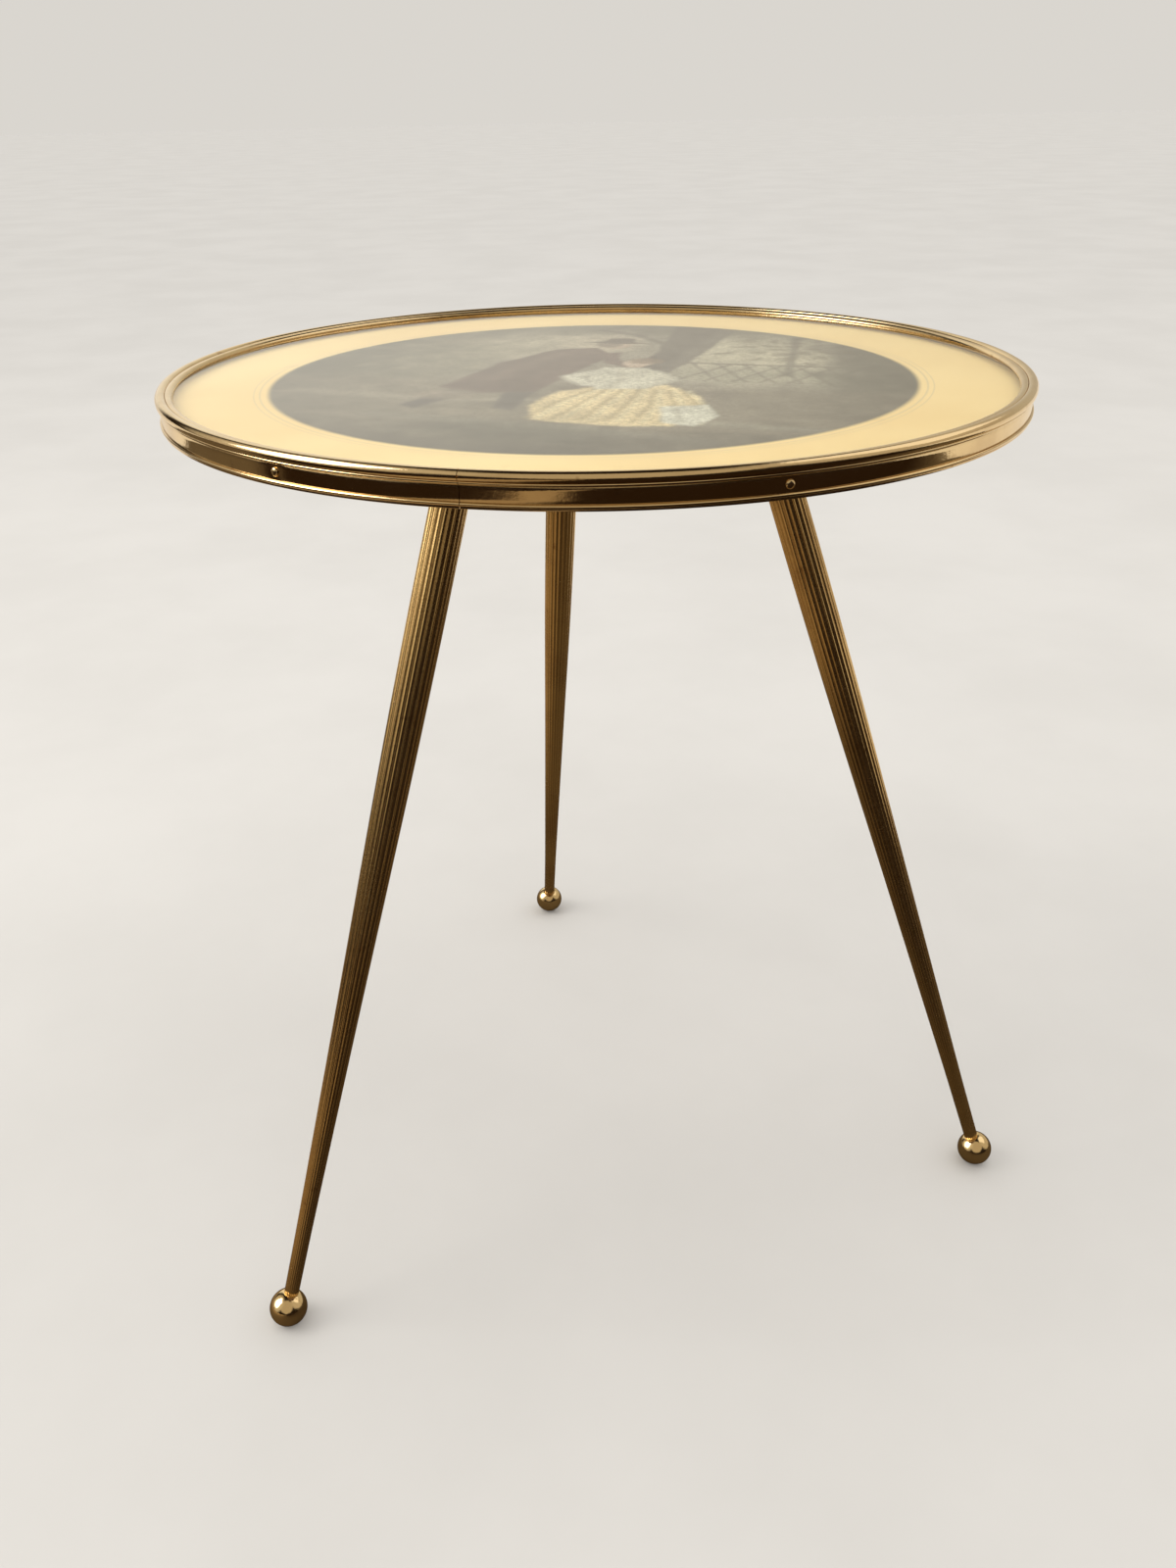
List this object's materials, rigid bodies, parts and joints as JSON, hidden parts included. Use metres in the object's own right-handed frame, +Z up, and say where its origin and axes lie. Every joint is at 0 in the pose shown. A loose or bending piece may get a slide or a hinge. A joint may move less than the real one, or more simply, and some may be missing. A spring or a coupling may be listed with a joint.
{
  "type": "round tripod occasional table",
  "caption": "Small round table: a picture under glass inside a raised brass rim, on splayed fluted brass legs with ball feet.",
  "frame": {"origin": "on the floor under the middle of the top", "axes": "+Z up, one leg roughly towards +Y"},
  "size_m": [0.4352, 0.4545, 0.47],
  "materials": {
    "glass": "clear polished float glass",
    "paper": "matt printed paper with a cream margin",
    "wood": "bare plywood, aged",
    "rim_brass": "polished drawn brass, lightly aged",
    "pin_brass": "brass pin heads, dulled",
    "leg_brass": "polished fluted brass, aged in the flutes",
    "ball_brass": "polished turned brass",
    "plug_brass": "turned brass, unpolished",
    "plate_steel": "plain mild steel, darkened",
    "zinc_steel": "zinc plated steel"
  },
  "bodies": {
    "top": {"glass_top": "glass", "picture_print": "paper", "top_board": "wood", "brass_rim": "rim_brass", "rim_pins": "pin_brass", "plate_screws": "zinc_steel", "leg_plate_1": "plate_steel", "leg_plate_2": "plate_steel", "leg_plate_3": "plate_steel"},
    "washer_1": {"leg_washer_1": "zinc_steel"},
    "leg_1": {"leg_tube_1": "leg_brass", "leg_top_plug_1": "plug_brass", "leg_stud_1": "zinc_steel", "leg_bottom_plug_1": "plug_brass", "foot_stud_1": "zinc_steel", "foot_ball_1": "ball_brass"},
    "washer_2": {"leg_washer_2": "zinc_steel"},
    "leg_2": {"leg_tube_2": "leg_brass", "leg_top_plug_2": "plug_brass", "leg_stud_2": "zinc_steel", "leg_bottom_plug_2": "plug_brass", "foot_stud_2": "zinc_steel", "foot_ball_2": "ball_brass"},
    "washer_3": {"leg_washer_3": "zinc_steel"},
    "leg_3": {"leg_tube_3": "leg_brass", "leg_top_plug_3": "plug_brass", "leg_stud_3": "zinc_steel", "leg_bottom_plug_3": "plug_brass", "foot_stud_3": "zinc_steel", "foot_ball_3": "ball_brass"}
  },
  "joints": [
    {"name": "leg_1_travel", "type": "slide", "parent": "top", "child": "washer_1", "axis": [0.0225, 0.3264, -0.945], "range_m": [0, 0.01]},
    {"name": "leg_1_unscrew", "type": "hinge", "parent": "washer_1", "child": "leg_1", "pos_m": [0.01358, 0.23551, 0.01], "axis": [0.0225, 0.3264, -0.945], "range_deg": [0, 2880]},
    {"name": "leg_2_travel", "type": "slide", "parent": "top", "child": "washer_2", "axis": [-0.2873, -0.1786, -0.941], "range_m": [0, 0.01]},
    {"name": "leg_2_unscrew", "type": "hinge", "parent": "washer_2", "child": "leg_2", "pos_m": [-0.20755, -0.12619, 0.01], "axis": [-0.2873, -0.1786, -0.941], "range_deg": [0, 2880]},
    {"name": "leg_3_travel", "type": "slide", "parent": "top", "child": "washer_3", "axis": [0.2873, -0.1516, -0.9458], "range_m": [0, 0.01]},
    {"name": "leg_3_unscrew", "type": "hinge", "parent": "washer_3", "child": "leg_3", "pos_m": [0.20774, -0.10814, 0.01], "axis": [0.2873, -0.1516, -0.9458], "range_deg": [0, 2880]}
  ],
  "couplings": [
    {"joint": "leg_1_unscrew", "follows": "leg_1_travel", "rad_per_m": 5026.5},
    {"joint": "leg_2_unscrew", "follows": "leg_2_travel", "rad_per_m": 5026.5},
    {"joint": "leg_3_unscrew", "follows": "leg_3_travel", "rad_per_m": 5026.5}
  ]
}
